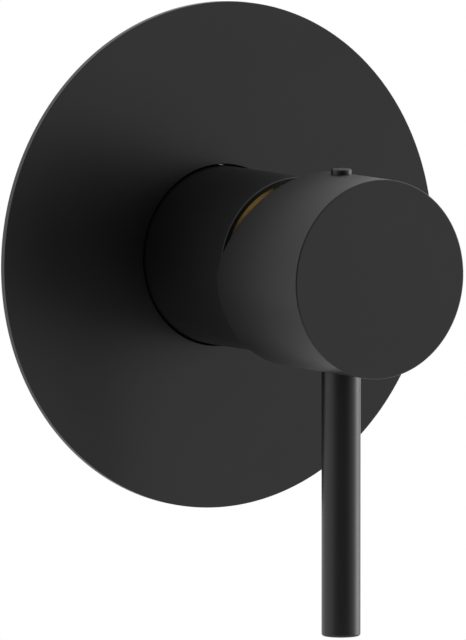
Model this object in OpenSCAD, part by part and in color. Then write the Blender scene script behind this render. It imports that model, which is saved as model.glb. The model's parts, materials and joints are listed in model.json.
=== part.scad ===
// Concealed single-lever bath mixer: a round wall plate, a sleeve, a knob with a pin lever,
// a ceramic cartridge, and the brass valve body that is built into the wall.
//
// The origin is the centre of the wall plate, on the finished wall. The wall is the plane y = 0,
// the room lies towards -Y, up is +Z, and the lever hangs straight down while the mixer is shut.
// "Out" is a distance from the finished wall towards the room, and "height" in the cartridge is
// a distance from its seat in the valve body, in the same direction.

/* [Wall plate] */
// Diameter of the wall plate
plate_d = 120; // [110:1:150]
// Thickness of the wall plate
plate_t = 1.65; // [1.5:0.05:3]
// Bevel round the plate's front edge
plate_bevel = 0.15; // [0.1:0.05:0.5]
// Gap between the plate's centre hole and the sleeve
plate_gap = 0.4; // [0.25:0.05:0.6]
// Depth of the collar behind the plate
collar_depth = 7.5; // [6:0.5:12]
// Wall of the collar outside its ring seal
collar_wall = 2.5; // [1.5:0.1:4]
// Thickness of the foam gasket, which lies flush in the plate's back
gasket_t = 0.8; // [0.5:0.1:0.9]
// Width of the foam gasket
gasket_w = 7; // [4:0.5:12]
// Distance from the foam gasket to the plate's rim
gasket_inset = 2.5; // [1.5:0.5:6]

/* [Sleeve] */
// Wall of the sleeve
sleeve_wall = 1.2; // [0.9:0.1:2]
// How far the sleeve's rim stands out of the wall
sleeve_out = 34.95; // [34.8:0.05:42]
// How far the sleeve reaches into the wall
sleeve_in = 11; // [9.5:0.5:16]
// Bevel on the sleeve's rims
sleeve_bevel = 0.25; // [0.1:0.05:0.4]
// Gap between the sleeve and the neck of the valve body
sleeve_fit = 0.3; // [0.2:0.05:0.4]
// Thickness of the ring seals inside and outside the sleeve
ring_section = 1.9; // [1.6:0.1:2.1]

/* [Knob] */
// Diameter of the knob
knob_d = 46.7; // [44:0.1:54]
// Length of the knob's lower side, from its back rim to its face
knob_len = 34.45; // [33:0.05:42]
// Gap between the sleeve's rim and the knob's back rim
knob_gap = 1.4; // [1.3:0.05:4]
// Side wall of the knob
knob_wall = 3; // [2.4:0.1:4]
// Thickness of the knob's face
knob_face = 5; // [3:0.5:7]
// Bevel round the knob's face and back rim
knob_bevel = 0.3; // [0.15:0.05:0.6]
// Slant of the knob's upper back rim, which makes room for its tilt
relief_angle = 24; // [23:0.5:28]
// Diameter of the boss that grips the spindle
boss_d = 15; // [13:0.5:18]
// Distance from the knob's back rim to the boss
boss_inset = 8; // [6:0.5:10]
// Diameter of the posts that carry the lever and the grub screw
post_d = 10; // [9:0.5:12]

/* [Lever] */
// Diameter of the pin lever
lever_d = 9.15; // [8:0.05:12]
// Distance from the knob's face back to the lever's axis
lever_setback = 16.65; // [14:0.05:18]
// Distance from the mixer's axis to the lever's tip
lever_reach = 85.2; // [70:0.1:110]
// Bevel round the lever's tip
lever_bevel = 0.6; // [0.3:0.1:1.2]
// Depth of the lever's seat in the knob's underside
lever_seat = 2.2; // [1.5:0.1:2.4]
// Diameter of the threaded stud that joins the lever to the knob
stud_d = 6; // [5:0.5:6.5]
// How deep the stud is screwed into the lever
stud_depth = 10; // [8:0.5:16]

/* [Grub screw and index plug] */
// Diameter of the grub screw
grub_d = 5; // [4:0.5:6]
// Length of the grub screw
grub_len = 6; // [5:0.5:9]
// Hexagon socket of the grub screw, across its flats
grub_hex = 2.5; // [2:0.5:3]
// Depth of the grub screw's socket
grub_hex_depth = 2.5; // [2:0.5:4]
// Gap round the index plug in its hole
index_gap = 0.15; // [0.1:0.05:0.25]
// How far the index plug stands proud of the knob
index_proud = 1.25; // [0.6:0.05:2]
// How deep the index plug reaches into the knob
index_depth = 4; // [3:0.5:6]
// Rounding of the index plug's edge
index_round = 0.45; // [0.2:0.05:0.6]

/* [Cartridge] */
// Where the cartridge's seat lies in front of the finished wall
seat_out = 0.5; // [0.2:0.1:1]
// Diameter of the cartridge
cartridge_d = 34.9; // [34.5:0.1:40]
// Width of the housing's shoulder, which the nut presses on
shoulder_w = 3.05; // [2.7:0.05:3.5]
// Thickness of the housing's shoulder
shoulder_t = 0.7; // [0.6:0.1:1.5]
// Height of the dome's top above the spindle's pivot
dome_rise = 5; // [4.5:0.1:6]
// Wall of the housing
housing_wall = 1.85; // [1.5:0.05:1.9]
// Wall of the dome
dome_wall = 2.5; // [2.3:0.1:2.6]
// Thickness of the dome's top
dome_top = 1.2; // [1:0.1:1.5]
// How far the dome's top reaches in over the turret
dome_lip = 1.3; // [1.1:0.1:1.5]
// Width of the dome's two stops for the limit ring's tab
stop_w = 2; // [1.5:0.1:3]
// Thickness of the cartridge's base, under the housing
base_t = 3; // [2.5:0.1:3.4]
// Height of the base's spigot inside the housing
base_spigot = 1.2; // [1:0.1:1.5]
// Diameter of the base's two locating pegs
peg_d = 2.8; // [2:0.1:3]
// Length of the locating pegs
peg_len = 2.5; // [2:0.1:4]
// Sideways place of the locating pegs
peg_x = 11.5; // [10.5:0.1:12.6]
// Height of the locating pegs above the axis
peg_rise = 6; // [5:0.1:6.6]
// Sideways place of the two inlets
inlet_x = 7; // [6.6:0.1:7.2]
// Distance of the inlets below the axis
inlet_drop = 3; // [2.9:0.1:3.3]
// Distance of the outlet above the axis
outlet_rise = 7.4; // [7:0.1:7.6]
// Diameter of the two inlets
inlet_d = 5.2; // [4.5:0.1:5.4]
// Diameter of the outlet
outlet_d = 5.6; // [5:0.1:5.8]
// Width of the port seals
port_seal_w = 1.4; // [1:0.1:1.5]
// Thickness of the port seals
port_seal_t = 1; // [0.8:0.1:1.1]
// Thickness of the fixed ceramic disc
fixed_disc_t = 3.6; // [3:0.1:3.8]
// Width of the two keys that hold the fixed disc
key_w = 3; // [2.4:0.1:3.4]
// Thickness of the moving ceramic disc
moving_disc_t = 3.5; // [3:0.1:3.7]
// Depth of the mixing chamber under the moving disc
chamber_depth = 2; // [1.5:0.1:2.4]
// Width of the moving disc's rim round the mixing chamber
chamber_rim = 2; // [1.6:0.1:2.4]
// Thickness of the disc carrier's plate
carrier_t = 3; // [2.4:0.1:3.1]
// Width of the carrier's block between the turret's guides
block_w = 13; // [12:0.1:14]
// Length of the carrier's block along its slide
block_len = 12; // [11:0.1:12.5]
// Height of the carrier's block above its plate
block_h = 4; // [3.6:0.1:4.2]
// Depth of the pocket for the spindle's ball, from the block's top
pocket_depth = 5.2; // [5:0.1:5.6]

/* [Turret and spindle] */
// Diameter of the pivot pin
pivot_d = 3; // [2.5:0.1:3]
// Distance from the pivot to the middle of the spindle's ball
arm_len = 9.5; // [8.5:0.1:10.5]
// Diameter of the arm that carries the ball
arm_d = 3.6; // [3:0.1:3.7]
// Diameter of the spindle's ball
ball_d = 4.8; // [4.3:0.1:5.3]
// Gap between the ball and the floor of its pocket, while the mixer is shut
ball_lift = 0.8; // [0.5:0.1:1.2]
// Width of the square spindle
spindle_w = 8; // [7.5:0.1:8.2]
// How far the square spindle reaches below its pivot
spindle_heel = 4; // [3:0.1:4]
// How far the spindle passes the lever's axis
spindle_past = 4.2; // [3.5:0.1:5]
// Thickness of the turret's flange above the carrier's block
flange_roof = 1.9; // [1.5:0.1:2]
// How far the turret's top stands above the dome
turret_rise = 2.6; // [2.2:0.1:2.8]
// Thickness of the turret's ring seal
turret_seal_section = 1.2; // [1:0.1:1.3]
// Thickness of the hot-water limit ring
limit_t = 2; // [1.6:0.1:2.1]
// Width of the hot-water limit ring
limit_w = 2.2; // [1.8:0.1:2.3]
// Angle that the limit ring's stop tab takes up
tab_angle = 20; // [14:1:24]

/* [Cartridge nut] */
// How far the nut's thread stands out past the cartridge
nut_step = 0.75; // [0.65:0.05:1.2]
// Length of the nut's thread in the neck
nut_thread_len = 6; // [5:0.5:8]
// Wall of the nut's hexagon at its flats
nut_hex_wall = 1.3; // [1.1:0.1:1.8]
// Height of the nut's hexagon
nut_head = 3.7; // [3:0.1:4]

/* [Valve body] */
// Wall of the neck, outside the nut's thread
neck_wall = 1.35; // [1.2:0.05:2.5]
// Gap between the sleeve's back end and the chamber
chamber_clear = 1; // [0.5:0.1:1.5]
// Gap between the sleeve's back end and the ports' octagons
port_clear = 1.5; // [1:0.1:12]
// Distance from the mixer's axis to the end of each port
port_reach = 32; // [31:0.5:45]
// Diameter inside the ports' threads
port_d = 18.6; // [18.4:0.1:18.8]
// Length of the ports' threads
port_len = 13.5; // [12:0.5:14]
// Octagon round each port, across its flats
port_octagon = 27; // [25:0.5:27.5]
// Length of the octagon
octagon_len = 12; // [10:0.5:14]
// Diameter of the cast arms
arm_outer_d = 24; // [22:0.5:25]
// Diameter of the inlet galleries
inlet_gallery_d = 10; // [8:0.5:11]
// How near the inlet galleries come to the mixer's axis
inlet_gallery_end = 9; // [8.5:0.1:10]
// Diameter of the outlet gallery
outlet_gallery_d = 8; // [7:0.1:8.4]
// Diameter of the cast chamber
chamber_d = 45; // [44:0.5:50]
// Bevel on the chamber's ends
chamber_bevel = 3; // [2:0.5:4]
// Distance between the fixing screws, from side to side
screw_span_x = 40; // [40:0.5:46]
// Distance between the fixing screws, up and down
screw_span_z = 52; // [50:0.5:60]
// Width of the two cast straps that take the fixing screws
strap_w = 12; // [11:0.5:13]
// Thickness of the straps
strap_t = 5; // [4:0.5:7]
// Diameter of the fixing screw holes
screw_hole_d = 5.4; // [5:0.1:6]

/* [Blanking plug] */
// Length of the blanking plug's thread
plug_len = 10; // [8:0.5:12]
// Diameter of the blanking plug's flange
plug_flange_d = 26; // [24:0.5:27]
// Thickness of the blanking plug's flange
plug_flange_t = 3; // [2.5:0.5:4]
// Hexagon socket of the blanking plug, across its flats
plug_hex = 10; // [8:1:12]
// Depth of the blanking plug's socket
plug_hex_depth = 7; // [5:0.5:8]
// Thickness of the blanking plug's washer
plug_washer_t = 1.5; // [1:0.1:2]

/* [Motion] */
// Angle through which the knob tilts to open the mixer
opening_angle = 22; // [18:0.5:22]
// Angle through which the knob turns each way to set the warmth
warmth_angle = 45; // [35:1:45]

/* [Hidden] */
$fn = 96;

black = [0.03, 0.03, 0.033];
brass = [0.78, 0.6, 0.3];
steel = [0.66, 0.67, 0.69];
rubber = [0.09, 0.09, 0.09];
acetal = [0.86, 0.87, 0.86];
grey_plastic = [0.42, 0.44, 0.46];
red_plastic = [0.7, 0.12, 0.1];
ceramic = [0.93, 0.91, 0.86];

// Clearances: a seal against its walls, a screw in its thread, and a pin in its hole
seal_gap = 0.05;
thread_gap = 0.05;
pin_gap = 0.03;
// Gap between pieces that slide or turn past each other inside the cartridge
run_gap = 0.3;
// Gap between the two ceramic discs, which is only a film of grease
film_gap = 0.05;
// Gap between the cartridge and the neck's bore
cartridge_gap = 0.1;
// A screw or pin ends this far short of the end of its hole, or of the face that hides it
end_room = 1;
// The inlets' drillings stay this far from the galleries' ends
gallery_shelf = 0.5;
// Degrees between the limit ring's tab and the dome's stops at full hot and full cold
stop_play = 1;
// A cut runs this far past the face that it opens, and a joined shape this far into the next
over = 1;

cartridge_r = cartridge_d / 2;
nut_r = cartridge_r + nut_step;
neck_r = nut_r + thread_gap + neck_wall;
neck_bore = cartridge_r + cartridge_gap;
sleeve_bore = neck_r + sleeve_fit;
sleeve_r = sleeve_bore + sleeve_wall;
// The ring seal on the neck sits at the middle of the stretch behind the cartridge's seat
sleeve_seal_out = (seat_out - sleeve_in) / 2;
collar_bore = sleeve_r + plate_gap;
collar_groove_r = sleeve_r + ring_section + 2 * seal_gap;
collar_r = collar_groove_r + collar_wall;
ring_groove_w = ring_section + 2 * seal_gap;

knob_r = knob_d / 2;
knob_back = sleeve_out + knob_gap;
knob_front = knob_back + knob_len;
lever_out = knob_front - lever_setback;
lever_r = lever_d / 2;
lever_top = knob_r - lever_seat;
socket_w = spindle_w + run_gap;
index_d = grub_d + 2 * thread_gap - 2 * index_gap;

housing_bore = cartridge_r - housing_wall;
dome_r = cartridge_r - shoulder_w;
dome_bore = dome_r - dome_wall;
opening_travel = arm_len * sin(opening_angle);
base_top = base_t + base_spigot;
fixed_disc_z = base_top + 3 * seal_gap;
moving_disc_z = fixed_disc_z + fixed_disc_t + film_gap;
carrier_z = moving_disc_z + moving_disc_t;
block_z = carrier_z + carrier_t;
turret_z = block_z + run_gap;
moving_disc_r = housing_bore - opening_travel - run_gap;
fixed_disc_r = housing_bore - run_gap;
turret_r = housing_bore - run_gap;
turret_neck_r = dome_bore - run_gap;
cavity_top = block_z + block_h + 2 * run_gap;
flange_top = cavity_top + flange_roof;
shoulder_h = flange_top + run_gap + shoulder_t;
ball_h = block_z + block_h - pocket_depth + ball_lift + ball_d / 2;
pivot_h = ball_h + arm_len;
dome_h = pivot_h + dome_rise;
turret_top_r = dome_bore - dome_lip - run_gap;
turret_neck_top = dome_h - dome_top - run_gap;
turret_seal_h = (turret_neck_top + pivot_h + pivot_d / 2) / 2;
limit_r = turret_top_r + seal_gap + limit_w;
limit_z = dome_h + run_gap;
spindle_tip = lever_out + spindle_past;
key_r = key_w / 2;

nut_bore = dome_r + run_gap;
nut_hex = 2 * (nut_bore + nut_hex_wall);
neck_h = shoulder_h + nut_thread_len;

port_depth = sleeve_in + port_clear + port_octagon / 2;
chamber_front = -sleeve_in - chamber_clear;
chamber_back = -port_depth - port_octagon / 2;
gallery_meet = inlet_gallery_end + inlet_d / 2 + gallery_shelf;

// Places something that is drawn with +Z out of the wall and +Y up
module from_wall() {
    rotate([90, 0, 0]) children();
}

// A turned piece with its axis on the mixer's axis: the outline holds [radius, out] points
module turned(outline) {
    from_wall() rotate_extrude() polygon(outline);
}

module tube(outer_r, inner_r, length) {
    difference() {
        cylinder(r = outer_r, h = length);
        translate([0, 0, -over]) cylinder(r = inner_r, h = length + 2 * over);
    }
}

// A ring of round rubber cord, centred on its own plane
module o_ring(inner_r, section) {
    rotate_extrude() translate([inner_r + section / 2, 0]) circle(d = section, $fn = 32);
}

// A prism with flats: its size is given across them
module prism(across, sides, length) {
    rotate(180 / sides) cylinder(d = across / cos(180 / sides), h = length, $fn = sides);
}

// A round hole drilled from one point to another
module drilling(from, to, r) {
    way = to - from;
    reach = norm(way);
    translate(from) rotate([0, acos(way[2] / reach), atan2(way[1], way[0])])
        cylinder(r = r, h = reach);
}

// The children at the two inlets, then at the outlet, of the cartridge
module at_inlets() {
    for (side = [-1, 1]) translate([side * inlet_x, -inlet_drop, 0]) children();
}

module at_outlet() {
    translate([0, outlet_rise, 0]) children();
}

module at_pegs() {
    for (side = [-1, 1]) translate([side * peg_x, peg_rise, 0]) children();
}

// Children at the fixed disc's two keys, at its left and right
module at_keys() {
    for (side = [-1, 1]) translate([side * fixed_disc_r, inlet_d / 2, 0]) children();
}

module port_seals(z, thickness) {
    translate([0, 0, z]) {
        at_inlets() tube(inlet_d / 2 + port_seal_w, inlet_d / 2 + seal_gap, thickness);
        at_outlet() tube(outlet_d / 2 + port_seal_w, outlet_d / 2 + seal_gap, thickness);
    }
}

module port_seal_grooves(z, depth) {
    translate([0, 0, z]) {
        at_inlets() cylinder(r = inlet_d / 2 + port_seal_w + seal_gap, h = depth);
        at_outlet() cylinder(r = outlet_d / 2 + port_seal_w + seal_gap, h = depth);
    }
}

module port_holes(z, depth) {
    translate([0, 0, z]) {
        at_inlets() cylinder(d = inlet_d, h = depth);
        at_outlet() cylinder(d = outlet_d, h = depth);
    }
}

module escutcheon_plate() {
    collar_back = -collar_depth;
    groove_z = collar_back + collar_wall;
    color(black) difference() {
        turned([
            [collar_bore, collar_back], [collar_r, collar_back], [collar_r, 0],
            [plate_d / 2, 0], [plate_d / 2, plate_t - plate_bevel],
            [plate_d / 2 - plate_bevel, plate_t], [collar_bore, plate_t]
        ]);
        from_wall() translate([0, 0, groove_z])
            cylinder(r = collar_groove_r, h = ring_groove_w);
        from_wall() translate([0, 0, -over])
            tube(plate_d / 2 - gasket_inset, plate_d / 2 - gasket_inset - gasket_w, gasket_t + over);
    }
}

module plate_gasket() {
    color(rubber) from_wall()
        tube(plate_d / 2 - gasket_inset - seal_gap,
             plate_d / 2 - gasket_inset - gasket_w + seal_gap, gasket_t);
}

module plate_o_ring() {
    color(rubber) from_wall() translate([0, 0, -collar_depth + collar_wall + ring_groove_w / 2])
        o_ring(sleeve_r + seal_gap, ring_section);
}

module sleeve() {
    color(black) turned([
        [sleeve_bore, -sleeve_in], [sleeve_r - sleeve_bevel, -sleeve_in],
        [sleeve_r, -sleeve_in + sleeve_bevel], [sleeve_r, sleeve_out - sleeve_bevel],
        [sleeve_r - sleeve_bevel, sleeve_out], [sleeve_bore, sleeve_out]
    ]);
}

module sleeve_o_ring() {
    color(rubber) from_wall() translate([0, 0, sleeve_seal_out])
        o_ring(sleeve_bore - seal_gap - ring_section, ring_section);
}

// What the knob's back loses above its middle, so that it can tilt towards the sleeve
module knob_relief() {
    slope = tan(relief_angle);
    reach = knob_r + over;
    translate([-reach, 0, 0]) rotate([90, 0, 90]) linear_extrude(2 * reach)
        polygon([
            [0, knob_back - over], [0, knob_back],
            [reach, knob_back + reach * slope], [reach, knob_back - over]
        ]);
}

module knob_body() {
    cavity_front = knob_front - knob_face;
    boss_back = knob_back + boss_inset;
    color(black) from_wall() difference() {
        union() {
            difference() {
                rotate_extrude() polygon([
                    [knob_r - knob_wall, knob_back], [knob_r - knob_bevel, knob_back],
                    [knob_r, knob_back + knob_bevel], [knob_r, knob_front - knob_bevel],
                    [knob_r - knob_bevel, knob_front], [0, knob_front],
                    [0, cavity_front], [knob_r - knob_wall, cavity_front]
                ]);
                knob_relief();
            }
            translate([0, 0, boss_back]) cylinder(d = boss_d, h = cavity_front + over - boss_back);
            translate([0, -knob_r + knob_wall / 2, lever_out]) rotate([-90, 0, 0])
                cylinder(d = post_d, h = knob_d - knob_wall);
        }
        translate([-socket_w / 2, -socket_w / 2, boss_back - over])
            cube([socket_w, socket_w, spindle_tip + run_gap - boss_back + over]);
        translate([0, 0, lever_out]) rotate([-90, 0, 0]) {
            cylinder(d = grub_d + 2 * thread_gap, h = knob_r + over);
            translate([0, 0, -knob_r - over]) cylinder(d = stud_d + 2 * thread_gap, h = knob_r + over);
            translate([0, 0, -knob_r - over]) cylinder(r = lever_r + seal_gap, h = lever_seat + over);
        }
    }
}

// Children on the lever's axis, with +Z up
module on_lever_axis() {
    translate([0, -lever_out, 0]) children();
}

module lever_pin() {
    hole_depth = stud_depth + end_room;
    color(black) on_lever_axis() difference() {
        rotate_extrude() polygon([
            [0, -lever_reach], [lever_r - lever_bevel, -lever_reach],
            [lever_r, -lever_reach + lever_bevel], [lever_r, -lever_top], [0, -lever_top]
        ]);
        translate([0, 0, -lever_top - hole_depth])
            cylinder(d = stud_d + 2 * thread_gap, h = hole_depth + over);
    }
}

module lever_stud() {
    stud_end = socket_w / 2 + end_room;
    color(steel) on_lever_axis() translate([0, 0, -lever_top - stud_depth])
        cylinder(d = stud_d, h = lever_top + stud_depth - stud_end);
}

module grub_screw() {
    color(steel) on_lever_axis() translate([0, 0, spindle_w / 2 + seal_gap]) difference() {
        cylinder(d = grub_d, h = grub_len);
        translate([0, 0, grub_len - grub_hex_depth]) prism(grub_hex, 6, grub_hex_depth + over);
    }
}

module index_plug() {
    top = knob_r + index_proud;
    plug_r = index_d / 2;
    color(black) on_lever_axis() rotate_extrude() union() {
        polygon([
            [0, knob_r - index_depth], [plug_r, knob_r - index_depth], [plug_r, top - index_round],
            [plug_r - index_round, top - index_round], [plug_r - index_round, top], [0, top]
        ]);
        translate([plug_r - index_round, top - index_round]) intersection() {
            circle(r = index_round, $fn = 32);
            square(index_round);
        }
    }
}

module at_fixing_screws() {
    for (x = [-1, 1], y = [-1, 1]) translate([x * screw_span_x / 2, y * screw_span_z / 2, 0])
        children();
}

module valve_casting() {
    turned([
        [0, chamber_back], [chamber_d / 2 - chamber_bevel, chamber_back],
        [chamber_d / 2, chamber_back + chamber_bevel],
        [chamber_d / 2, chamber_front - chamber_bevel],
        [chamber_d / 2 - chamber_bevel, chamber_front], [neck_r, chamber_front],
        [neck_r, seat_out + neck_h], [0, seat_out + neck_h]
    ]);
    from_wall() translate([0, 0, -port_depth]) for (turn = [0, 90, 180, 270]) rotate(turn)
        rotate([0, 90, 0]) {
            cylinder(d = arm_outer_d, h = port_reach - octagon_len + over);
            translate([0, 0, port_reach - octagon_len]) prism(port_octagon, 8, octagon_len);
        }
    from_wall() translate([0, 0, chamber_back]) {
        for (side = [-1, 1]) translate([side * screw_span_x / 2 - strap_w / 2, -screw_span_z / 2, 0])
            cube([strap_w, screw_span_z, strap_t]);
        at_fixing_screws() cylinder(d = strap_w, h = strap_t);
    }
}

module valve_body() {
    color(brass) difference() {
        valve_casting();
        from_wall() {
            translate([0, 0, seat_out]) cylinder(r = neck_bore, h = neck_h + over);
            translate([0, 0, seat_out + shoulder_h - over])
                cylinder(r = nut_r + thread_gap, h = neck_h - shoulder_h + 2 * over);
            translate([0, 0, sleeve_seal_out - ring_groove_w / 2])
                tube(neck_r + over, sleeve_bore - 2 * seal_gap - ring_section, ring_groove_w);
            translate([0, 0, seat_out - peg_len - run_gap])
                at_pegs() cylinder(d = peg_d + 2 * seal_gap, h = peg_len + run_gap + over);
            for (side = [-1, 1]) {
                drilling([side * inlet_x, -inlet_drop, seat_out + over],
                         [side * gallery_meet, 0, -port_depth], inlet_d / 2);
                translate([side * inlet_gallery_end, 0, -port_depth]) rotate([0, side * 90, 0])
                    cylinder(d = inlet_gallery_d, h = port_reach - inlet_gallery_end);
            }
            drilling([0, outlet_rise, seat_out + over], [0, outlet_rise, -port_depth], outlet_d / 2);
            translate([0, -port_reach, -port_depth]) rotate([-90, 0, 0])
                cylinder(d = outlet_gallery_d, h = 2 * port_reach);
            for (turn = [0, 90, 180, 270]) rotate(turn)
                translate([port_reach - port_len, 0, -port_depth]) rotate([0, 90, 0])
                    cylinder(d = port_d, h = port_len + over);
            translate([0, 0, chamber_back - over])
                at_fixing_screws() cylinder(d = screw_hole_d, h = strap_t + 2 * over);
        }
    }
}

module cartridge_nut() {
    thread_len = nut_thread_len + seal_gap;
    color(brass) from_wall() translate([0, 0, seat_out + shoulder_h]) difference() {
        union() {
            cylinder(r = nut_r, h = thread_len);
            translate([0, 0, thread_len]) prism(nut_hex, 6, nut_head);
        }
        translate([0, 0, -over]) cylinder(r = nut_bore, h = thread_len + nut_head + 2 * over);
    }
}

// The two stops on the dome's top, which the limit ring's tab meets at full hot and full cold
module dome_stops() {
    reach = warmth_angle + tab_angle / 2 + stop_play;
    for (side = [-1, 1]) rotate(-90 + side * reach)
        translate([limit_r + run_gap, side > 0 ? 0 : -stop_w, dome_h - dome_top])
            cube([dome_r - limit_r - 2 * run_gap, stop_w, dome_top + limit_t]);
}

module cartridge_housing() {
    color(acetal) from_wall() translate([0, 0, seat_out]) {
        rotate_extrude() polygon([
            [housing_bore, base_t], [cartridge_r, base_t], [cartridge_r, shoulder_h],
            [dome_r, shoulder_h], [dome_r, dome_h], [turret_top_r + run_gap, dome_h],
            [turret_top_r + run_gap, dome_h - dome_top], [dome_bore, dome_h - dome_top],
            [dome_bore, flange_top + run_gap], [housing_bore, flange_top + run_gap]
        ]);
        dome_stops();
    }
}

module cartridge_base() {
    color(grey_plastic) from_wall() translate([0, 0, seat_out]) {
        difference() {
            union() {
                cylinder(r = cartridge_r, h = base_t);
                cylinder(r = housing_bore - seal_gap, h = base_top);
            }
            port_holes(-over, base_top + 2 * over);
            port_seal_grooves(-over, port_seal_t + over);
            port_seal_grooves(base_top - port_seal_t, port_seal_t + over);
        }
        translate([0, 0, -peg_len]) at_pegs() cylinder(d = peg_d, h = peg_len + over);
        intersection() {
            translate([0, 0, base_top - over]) at_keys()
                cylinder(r = key_r - seal_gap, h = fixed_disc_t / 2 + over);
            cylinder(r = housing_bore - seal_gap, h = carrier_z);
        }
    }
}

module base_seals() {
    color(rubber) from_wall() translate([0, 0, seat_out]) port_seals(0, port_seal_t - seal_gap);
}

module disc_seals() {
    color(rubber) from_wall() translate([0, 0, seat_out])
        port_seals(base_top - port_seal_t + seal_gap, port_seal_t + seal_gap);
}

module fixed_disc() {
    color(ceramic) from_wall() translate([0, 0, seat_out + fixed_disc_z]) difference() {
        cylinder(r = fixed_disc_r, h = fixed_disc_t);
        port_holes(-over, fixed_disc_t + 2 * over);
        translate([0, 0, -over]) at_keys() cylinder(r = key_r, h = fixed_disc_t + 2 * over);
    }
}

// The mixing chamber covers the outlet alone while the mixer is shut, and reaches the inlets as it opens
module moving_disc() {
    chamber_r = moving_disc_r - chamber_rim;
    chamber_edge = -inlet_drop + inlet_d / 2 + run_gap;
    color(ceramic) from_wall() translate([0, 0, seat_out + moving_disc_z]) difference() {
        cylinder(r = moving_disc_r, h = moving_disc_t);
        translate([0, 0, -over]) intersection() {
            cylinder(r = chamber_r, h = chamber_depth + over);
            translate([-chamber_r, chamber_edge, 0])
                cube([2 * chamber_r, chamber_r, chamber_depth + over]);
        }
    }
}

module disc_carrier() {
    pocket_w = ball_d + run_gap;
    color(grey_plastic) from_wall() translate([0, 0, seat_out + carrier_z]) difference() {
        union() {
            cylinder(r = moving_disc_r, h = carrier_t);
            translate([-block_w / 2, -block_len / 2, 0]) cube([block_w, block_len, carrier_t + block_h]);
        }
        translate([-pocket_w / 2, -pocket_w / 2, carrier_t + block_h - pocket_depth])
            cube([pocket_w, pocket_w, pocket_depth + over]);
    }
}

module turret() {
    lift = dome_h + turret_rise - pivot_h;
    slot_top = lift * tan(opening_angle) + spindle_w / 2 / cos(opening_angle) + run_gap;
    slot_bottom = norm([spindle_w / 2, spindle_heel]) + run_gap;
    slot_w = spindle_w + run_gap;
    guide_w = block_w + run_gap;
    color(acetal) from_wall() translate([0, 0, seat_out]) difference() {
        union() {
            translate([0, 0, turret_z]) cylinder(r = turret_r, h = flange_top - turret_z);
            translate([0, 0, turret_z]) cylinder(r = turret_neck_r, h = turret_neck_top - turret_z);
            translate([0, 0, turret_z]) cylinder(r = turret_top_r, h = dome_h + turret_rise - turret_z);
        }
        translate([-guide_w / 2, -block_len / 2 - opening_travel - run_gap, turret_z - over])
            cube([guide_w, block_len + opening_travel + 2 * run_gap, cavity_top - turret_z + over]);
        translate([-slot_w / 2, -slot_bottom, turret_z])
            cube([slot_w, slot_bottom + slot_top, dome_h + turret_rise]);
        translate([-turret_r, 0, pivot_h]) rotate([0, 90, 0])
            cylinder(d = pivot_d + 2 * pin_gap, h = 2 * turret_r);
        translate([0, 0, turret_seal_h - turret_seal_section / 2 - seal_gap])
            tube(turret_r, dome_bore - turret_seal_section - 2 * seal_gap,
                 turret_seal_section + 2 * seal_gap);
    }
}

module turret_o_ring() {
    color(rubber) from_wall() translate([0, 0, seat_out + turret_seal_h])
        o_ring(dome_bore - seal_gap - turret_seal_section, turret_seal_section);
}

module limit_ring() {
    tab_r = dome_r - run_gap;
    color(red_plastic) from_wall() translate([0, 0, seat_out + limit_z]) difference() {
        union() {
            cylinder(r = limit_r, h = limit_t);
            intersection() {
                cylinder(r = tab_r, h = limit_t);
                linear_extrude(limit_t) polygon([
                    [0, 0],
                    for (end = [-1, 1])
                        2 * dome_r * [sin(end * tab_angle / 2), -cos(end * tab_angle / 2)]
                ]);
            }
        }
        translate([0, 0, -over]) cylinder(r = turret_top_r + seal_gap, h = limit_t + 2 * over);
    }
}

module pivot_pin() {
    pin_len = 2 * (turret_neck_r - end_room);
    color(steel) from_wall() translate([-pin_len / 2, 0, seat_out + pivot_h]) rotate([0, 90, 0])
        cylinder(d = pivot_d, h = pin_len);
}

module spindle() {
    heel_out = seat_out + pivot_h - spindle_heel;
    ball_out = seat_out + ball_h;
    color(brass) from_wall() difference() {
        union() {
            translate([-spindle_w / 2, -spindle_w / 2, heel_out])
                cube([spindle_w, spindle_w, spindle_tip - heel_out]);
            translate([0, 0, ball_out]) cylinder(d = arm_d, h = heel_out - ball_out + over);
            translate([0, 0, ball_out]) sphere(d = ball_d);
        }
        translate([-spindle_w, 0, seat_out + pivot_h]) rotate([0, 90, 0])
            cylinder(d = pivot_d + 2 * pin_gap, h = 2 * spindle_w);
    }
}

// Children at the mouth of the upper port, with +Z up
module at_upper_port() {
    translate([0, port_depth, port_reach]) children();
}

module blanking_plug() {
    color(brass) at_upper_port() difference() {
        union() {
            translate([0, 0, -plug_len]) cylinder(d = port_d - 2 * thread_gap, h = plug_len + plug_washer_t);
            translate([0, 0, plug_washer_t]) cylinder(d = plug_flange_d, h = plug_flange_t);
        }
        translate([0, 0, plug_washer_t + plug_flange_t - plug_hex_depth])
            prism(plug_hex, 6, plug_hex_depth + over);
    }
}

module blanking_plug_washer() {
    color(rubber) at_upper_port() tube(plug_flange_d / 2, port_d / 2, plug_washer_t);
}

escutcheon_plate();
plate_gasket();
plate_o_ring();
sleeve();
sleeve_o_ring();
knob_body();
lever_pin();
lever_stud();
grub_screw();
index_plug();
valve_body();
cartridge_nut();
cartridge_housing();
cartridge_base();
base_seals();
disc_seals();
fixed_disc();
moving_disc();
disc_carrier();
turret();
turret_o_ring();
limit_ring();
pivot_pin();
spindle();
blanking_plug();
blanking_plug_washer();
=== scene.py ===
# The looks of a concealed bath mixer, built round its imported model.
# Pieces are drawn in millimetres with +Z out of the wall and +Y up, and FROM_WALL then stands
# them in the frame, where the wall is the plane y = 0 and the room lies towards -Y.

import json
from math import ceil, cos, pi, radians, sin, sqrt, tan

import bmesh
import bpy
from mathutils import Matrix, Vector

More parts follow.
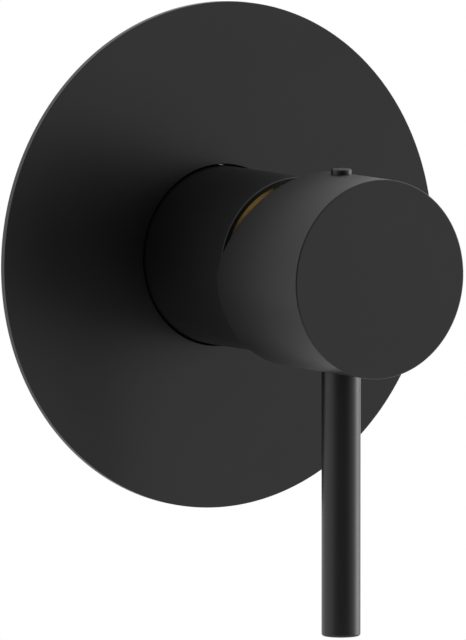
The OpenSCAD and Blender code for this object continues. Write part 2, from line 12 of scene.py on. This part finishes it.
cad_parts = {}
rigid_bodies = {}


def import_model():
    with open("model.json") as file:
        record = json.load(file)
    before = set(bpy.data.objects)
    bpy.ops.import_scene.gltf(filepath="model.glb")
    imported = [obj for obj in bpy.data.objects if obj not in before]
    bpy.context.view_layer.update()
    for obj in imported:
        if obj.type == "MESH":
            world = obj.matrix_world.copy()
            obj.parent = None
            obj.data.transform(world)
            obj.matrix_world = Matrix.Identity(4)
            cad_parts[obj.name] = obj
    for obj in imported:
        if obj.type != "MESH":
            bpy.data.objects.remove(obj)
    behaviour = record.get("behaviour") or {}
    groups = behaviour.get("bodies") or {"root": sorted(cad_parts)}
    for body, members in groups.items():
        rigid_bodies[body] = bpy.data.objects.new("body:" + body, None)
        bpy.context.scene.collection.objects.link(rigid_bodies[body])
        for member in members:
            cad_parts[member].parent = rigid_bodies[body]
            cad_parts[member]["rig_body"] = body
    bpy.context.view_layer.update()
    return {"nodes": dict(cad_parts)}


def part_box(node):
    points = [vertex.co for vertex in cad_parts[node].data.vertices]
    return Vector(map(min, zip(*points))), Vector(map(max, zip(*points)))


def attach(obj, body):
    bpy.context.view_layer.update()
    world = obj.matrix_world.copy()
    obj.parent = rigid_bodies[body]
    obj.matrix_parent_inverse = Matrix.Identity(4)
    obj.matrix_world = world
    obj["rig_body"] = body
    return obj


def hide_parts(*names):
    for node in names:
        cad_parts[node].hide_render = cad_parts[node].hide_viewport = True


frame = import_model()
nodes = frame["nodes"]

MM = 0.001
FROM_WALL = Matrix.Scale(MM, 4) @ Matrix.Rotation(radians(90), 4, "X")

# Camera
# A long lens 4 m from the wall, to the left of the mixer and a little above it.
# Its lens, place and direction were measured from the outlines of the plate, sleeve and knob.

camera_place = Vector((-2.13983, -3.35639, 0.39503))
towards_camera = Vector((-0.53556, -0.83824, 0.10262))
camera_data = bpy.data.cameras.new("camera")
camera_data.lens = 952.27
camera_data.sensor_width = 36
camera_data.clip_end = 20
camera = bpy.data.objects.new("camera", camera_data)
camera.matrix_world = Matrix.LocRotScale(camera_place, towards_camera.to_track_quat("Z", "Y"), None)
bpy.context.scene.collection.objects.link(camera)
bpy.context.scene.camera = camera
bpy.context.scene.view_settings.view_transform = "Standard"

# Studio
# A white sweep stands all round. The studio is dim only in front, where the camera stands,
# and a tall soft box on the right gives the streak down the lever.

dim_direction = Vector((sin(radians(-25)), -cos(radians(-25)), 0.0))
dim_level = 0.1
dim_core = 0.93
dim_edge = 0.25


def add(tree, kind, inputs=None, **settings):
    """Adds a node. A socket given as an input is linked, and any other input is a plain value."""
    node = tree.nodes.new(kind)
    for name, value in settings.items():
        setattr(node, name, value)
    for name, value in (inputs or {}).items():
        socket = node.inputs[name]
        if isinstance(value, bpy.types.NodeSocket):
            tree.links.new(value, socket)
        else:
            socket.default_value = value
    return node


world = bpy.data.worlds.new("white studio")
bpy.context.scene.world = world
world.use_nodes = True
sky = world.node_tree
sky.nodes.clear()
direction = add(sky, "ShaderNodeTexCoord").outputs["Generated"]
frontness = add(sky, "ShaderNodeVectorMath", {0: direction, 1: dim_direction}, operation="DOT_PRODUCT")
studio_level = add(sky, "ShaderNodeMapRange", {
    "Value": frontness.outputs["Value"], "From Min": dim_edge, "From Max": dim_core,
    "To Min": 1.0, "To Max": dim_level,
}, interpolation_type="SMOOTHSTEP")
ray = add(sky, "ShaderNodeLightPath")
seen = add(sky, "ShaderNodeMath", {
    0: ray.outputs["Is Camera Ray"], 1: ray.outputs["Is Transmission Ray"],
}, operation="MAXIMUM")
level = add(sky, "ShaderNodeMix", {
    "Factor": seen.outputs[0], 2: studio_level.outputs[0], 3: 1.0,
})
background = add(sky, "ShaderNodeBackground", {"Color": (1, 1, 1, 1), "Strength": level.outputs[0]})
add(sky, "ShaderNodeOutputWorld", {"Surface": background.outputs[0]})

soft_box_azimuth = 78
soft_box_distance = 2.5
soft_box_width = 1.5
soft_box_height = 2.0
soft_box_level = 3.0
soft_box = bpy.data.lights.new("soft box", "AREA")
soft_box.shape = "RECTANGLE"
soft_box.size = soft_box_width
soft_box.size_y = soft_box_height
soft_box.energy = soft_box_level * pi * soft_box_width * soft_box_height
soft_box_object = bpy.data.objects.new("soft box", soft_box)
soft_box_turn = radians(soft_box_azimuth)
soft_box_side = Vector((sin(soft_box_turn), -cos(soft_box_turn), 0.05))
soft_box_object.matrix_world = Matrix.LocRotScale(
    soft_box_side * soft_box_distance, soft_box_side.to_track_quat("Z", "Y"), None)
soft_box_object.visible_camera = False
bpy.context.scene.collection.objects.link(soft_box_object)

# Floor
# A plain pale sheet, well under the lever's tip, which keeps the mixer's shadow.

floor_height = -0.25
floor_radius = 0.6
floor_mesh = bpy.data.meshes.new("floor")
sheet = bmesh.new()
bmesh.ops.create_circle(sheet, cap_ends=True, radius=floor_radius, segments=96)
bmesh.ops.translate(sheet, verts=sheet.verts, vec=(0, 0, floor_height))
sheet.to_mesh(floor_mesh)
sheet.free()
floor = bpy.data.objects.new("floor", floor_mesh)
bpy.context.scene.collection.objects.link(floor)
floor_paint = bpy.data.materials.new("pale floor")
floor_paint.use_nodes = True
floor_shader = floor_paint.node_tree.nodes["Principled BSDF"]
floor_shader.inputs["Base Color"].default_value = (0.86, 0.86, 0.86, 1)
floor_shader.inputs["Roughness"].default_value = 0.9
floor_mesh.materials.append(floor_paint)

# Wall plate
# A disc of brass sheet turned with a collar behind it, painted matt black and baked.
# It slides over the sleeve, and the ring seal in its collar grips the sleeve.

plate_low, plate_high = (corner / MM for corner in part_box("escutcheon_plate"))
plate_r = plate_high.x
plate_front = -plate_low.y
collar_back = -plate_high.y
collar_bore = 21.5
collar_r = 25.6
collar_groove_r = 23.1
collar_groove_back = -5.0
collar_groove_front = -3.0
gasket_outer_r = 57.5
gasket_inner_r = 50.5
gasket_depth = 0.8
plate_edge_round = 0.15
TURNED_SIDES = 384
SMOOTH_UNDER = radians(32)


def rounded(corners, steps=6):
    """A closed outline of [radius, height] points. Each corner is (radius, height, rounding)."""
    points = []
    for i, (r, h, rounding) in enumerate(corners):
        corner = Vector((r, h))
        if not rounding:
            points.append(corner)
            continue
        before = (Vector(corners[i - 1][:2]) - corner).normalized()
        after = (Vector(corners[(i + 1) % len(corners)][:2]) - corner).normalized()
        half_turn = before.angle(after) / 2
        reach = rounding / tan(half_turn)
        centre = corner + (before + after).normalized() * rounding / sin(half_turn)
        start = corner + before * reach - centre
        end = corner + after * reach - centre
        points.append(corner + before * reach * 1.5)
        for k in range(steps + 1):
            points.append(centre + start.lerp(end, k / steps).normalized() * rounding)
        points.append(corner + after * reach * 1.5)
    return points


def lathe(outline, sides=TURNED_SIDES):
    """A closed mesh, turned from a closed outline about +Z."""
    mesh = bmesh.new()
    rings = []
    for k in range(sides):
        turn = 2 * pi * k / sides
        rings.append([mesh.verts.new((r * cos(turn), r * sin(turn), h)) for r, h in outline])
    for k in range(sides):
        here, there = rings[k], rings[(k + 1) % sides]
        for i in range(len(outline)):
            j = (i + 1) % len(outline)
            if outline[i][0] or outline[j][0]:
                mesh.faces.new((here[i], there[i], there[j], here[j]))
    return cleaned(mesh)


def cleaned(mesh):
    """Merges a bmesh's doubles, turns its faces outwards and hands it on as a mesh."""
    bmesh.ops.remove_doubles(mesh, verts=mesh.verts, dist=1e-5)
    loose = [v for v in mesh.verts if not v.link_faces]
    bmesh.ops.delete(mesh, geom=loose, context="VERTS")
    bmesh.ops.recalc_face_normals(mesh, faces=mesh.faces)
    result = bpy.data.meshes.new("mesh")
    mesh.to_mesh(result)
    mesh.free()
    return result


def finish_piece(name, mesh, place, materials, stands_for):
    """Stands a mesh in the frame as a piece that replaces a CAD node and rides with its body."""
    mesh.transform(place)
    mesh.name = name
    mesh.materials.clear()
    for material in materials:
        mesh.materials.append(material)
    mesh.polygons.foreach_set("use_smooth", [True] * len(mesh.polygons))
    mesh.set_sharp_from_angle(angle=SMOOTH_UNDER)
    piece = bpy.data.objects.new(name, mesh)
    bpy.context.scene.collection.objects.link(piece)
    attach(piece, nodes[stands_for]["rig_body"])
    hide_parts(stands_for)
    return piece


def new_material(name, **values):
    """A material. Each value that is the same all over is set on its shader's own socket."""
    material = bpy.data.materials.new(name)
    material.use_nodes = True
    shader = material.node_tree.nodes["Principled BSDF"]
    for socket, value in values.items():
        shader.inputs[socket.replace("_", " ")].default_value = value
    return material, material.node_tree, shader


# Fine grain: the faint texture of sprayed paint and moulded plastic
grain_group = bpy.data.node_groups.new("fine grain", "ShaderNodeTree")
grain_group.interface.new_socket("Grain Size", in_out="INPUT", socket_type="NodeSocketFloat")
grain_group.interface.new_socket("Patch Size", in_out="INPUT", socket_type="NodeSocketFloat")
grain_group.interface.new_socket("Height", in_out="OUTPUT", socket_type="NodeSocketFloat")
grain_group.interface.new_socket("Patches", in_out="OUTPUT", socket_type="NodeSocketFloat")
grain_in = add(grain_group, "NodeGroupInput")
grain_place = add(grain_group, "ShaderNodeTexCoord").outputs["Object"]
grain_scale = add(grain_group, "ShaderNodeMath", {0: 1.0, 1: grain_in.outputs["Grain Size"]},
                  operation="DIVIDE")
patch_scale = add(grain_group, "ShaderNodeMath", {0: 1.0, 1: grain_in.outputs["Patch Size"]},
                  operation="DIVIDE")
grain_noise = add(grain_group, "ShaderNodeTexNoise", {
    "Vector": grain_place, "Scale": grain_scale.outputs[0], "Detail": 2.0, "Roughness": 0.55})
patch_noise = add(grain_group, "ShaderNodeTexNoise", {
    "Vector": grain_place, "Scale": patch_scale.outputs[0], "Detail": 3.0, "Roughness": 0.5})
add(grain_group, "NodeGroupOutput", {
    "Height": grain_noise.outputs["Fac"], "Patches": patch_noise.outputs["Fac"]})


def grained(tree, shader, grain, patch, depth, colours, roughness):
    """Gives a material a fine grain, and a little change of colour and gloss from patch to patch."""
    group = add(tree, "ShaderNodeGroup", node_tree=grain_group)
    group.inputs["Grain Size"].default_value = grain
    group.inputs["Patch Size"].default_value = patch
    colour = add(tree, "ShaderNodeMix", {
        "Factor": group.outputs["Patches"], 6: (*colours[0], 1), 7: (*colours[1], 1)},
        data_type="RGBA")
    gloss = add(tree, "ShaderNodeMapRange", {
        "Value": group.outputs["Patches"], "From Min": 0.3, "From Max": 0.7,
        "To Min": roughness[0], "To Max": roughness[1]})
    bump = add(tree, "ShaderNodeBump", {
        "Height": group.outputs["Height"], "Distance": depth, "Strength": 1.0})
    tree.links.new(colour.outputs[2], shader.inputs["Base Color"])
    tree.links.new(gloss.outputs[0], shader.inputs["Roughness"])
    tree.links.new(bump.outputs[0], shader.inputs["Normal"])


matte_black, tree, shader = new_material("matt black paint", IOR=1.5)
grained(tree, shader, grain=0.00012, patch=0.03, depth=0.0000015,
        colours=((0.0055, 0.0055, 0.006), (0.0075, 0.0075, 0.008)), roughness=(0.34, 0.38))

plate = finish_piece("wall_plate", lathe(rounded([
    (collar_bore, collar_back, 0.2), (collar_r, collar_back, 0.4), (collar_r, 0, 0),
    (gasket_inner_r, 0, 0), (gasket_inner_r, gasket_depth, 0),
    (gasket_outer_r, gasket_depth, 0), (gasket_outer_r, 0, 0),
    (plate_r, 0, plate_edge_round), (plate_r, plate_front, plate_edge_round),
    (collar_bore, plate_front, plate_edge_round),
    (collar_bore, collar_groove_front, 0), (collar_groove_r, collar_groove_front, 0),
    (collar_groove_r, collar_groove_back, 0), (collar_bore, collar_groove_back, 0),
])), FROM_WALL, [matte_black], "escutcheon_plate")

# Sleeve
# A length of drawn brass tube with its rims eased, in the same paint as the plate.
# It slides over the ring seal on the valve body's neck.

sleeve_low, sleeve_high = (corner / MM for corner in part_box("sleeve"))
sleeve_r = sleeve_high.x
sleeve_front = -sleeve_low.y
sleeve_back = -sleeve_high.y
sleeve_bore = 19.9
sleeve_edge_round = 0.25

sleeve = finish_piece("sleeve_tube", lathe(rounded([
    (sleeve_bore, sleeve_back, 0.15), (sleeve_r, sleeve_back, sleeve_edge_round),
    (sleeve_r, sleeve_front, sleeve_edge_round), (sleeve_bore, sleeve_front, 0.15),
])), FROM_WALL, [matte_black], "sleeve")

# Knob
# A brass cup, turned and drilled, with its upper back rim milled on a slant so that it can
# tilt. A boss inside grips the square spindle, and two posts take the grub screw and the stud.
# The piece drawn here is the cup with its slanted rim alone, without the boss, posts or holes.

knob_low, knob_high = (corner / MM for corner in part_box("knob_body"))
knob_r = knob_high.x
knob_back = -knob_high.y
knob_front = -knob_low.y
knob_cavity_r = 20.35
knob_face_t = 5.0
knob_relief_slope = tan(radians(24))
knob_edge_round = 0.3
knob_sides = 384
lever_out = knob_front - 16.65
boss_r = 7.5
boss_back = knob_back + 8
post_r = 5.0
socket_w = 8.3
socket_front = lever_out + 4.5
grub_hole_r = 2.55
stud_hole_r = 3.05
seat_r = 4.625
seat_depth = 2.2


def knob_shell():
    """The cup alone: each section follows the slanted back rim, whose edges are eased."""
    mesh = bmesh.new()
    cavity_front = knob_front - knob_face_t
    rings = []
    for k in range(knob_sides):
        turn = 2 * pi * k / knob_sides
        slope = max(0.0, sin(turn)) * knob_relief_slope
        outline = rounded([
            (0, cavity_front, 0), (knob_cavity_r, cavity_front, 0.8),
            (knob_cavity_r, knob_back + knob_cavity_r * slope, 0.12),
            (knob_r, knob_back + knob_r * slope, knob_edge_round),
            (knob_r, knob_front, knob_edge_round), (0, knob_front, 0),
        ])
        rings.append([mesh.verts.new((r * cos(turn), r * sin(turn), h)) for r, h in outline])
    count = len(rings[0])
    for k in range(knob_sides):
        here, there = rings[k], rings[(k + 1) % knob_sides]
        for i in range(count - 1):
            mesh.faces.new((here[i], there[i], there[i + 1], here[i + 1]))
    return cleaned(mesh)


knob = finish_piece("knob_cup", knob_shell(), FROM_WALL, [matte_black], "knob_body")

# Lever
# A plain turned brass pin, painted like the knob, with its tip eased.
# A threaded stud holds it in a shallow seat in the knob's underside.

ON_LEVER_AXIS = Matrix.Translation((0, -lever_out * MM, 0)) @ Matrix.Scale(MM, 4)
lever_low, lever_high = (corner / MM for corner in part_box("lever_pin"))
lever_r = lever_high.x
lever_tip = lever_low.z
lever_top = lever_high.z
lever_tip_round = 0.6
lever_sides = 192

lever = finish_piece("lever_rod", lathe(rounded([
    (0, lever_tip, 0), (lever_r, lever_tip, lever_tip_round), (lever_r, lever_top, 0.2),
    (stud_hole_r, lever_top, 0.2), (stud_hole_r, lever_top - 11, 0), (0, lever_top - 11, 0),
]), lever_sides), ON_LEVER_AXIS, [matte_black], "lever_pin")

# Index plug
# A small moulded plug with an eased edge, pressed into the knob over the grub screw.

plug_low, plug_high = (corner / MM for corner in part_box("index_plug"))
plug_r = plug_high.x
plug_top = plug_high.z
plug_bottom = plug_low.z
plug_round = 0.45

black_plastic, tree, shader = new_material("black plastic", IOR=1.5)
grained(tree, shader, grain=0.0001, patch=0.01, depth=0.000001,
        colours=((0.006, 0.006, 0.0065), (0.008, 0.008, 0.0085)), roughness=(0.38, 0.44))

index_plug = finish_piece("index_cap", lathe(rounded([
    (0, plug_bottom, 0), (plug_r, plug_bottom, 0.2), (plug_r, plug_top, plug_round),
    (0, plug_top, 0),
]), 96), ON_LEVER_AXIS, [black_plastic], "index_plug")
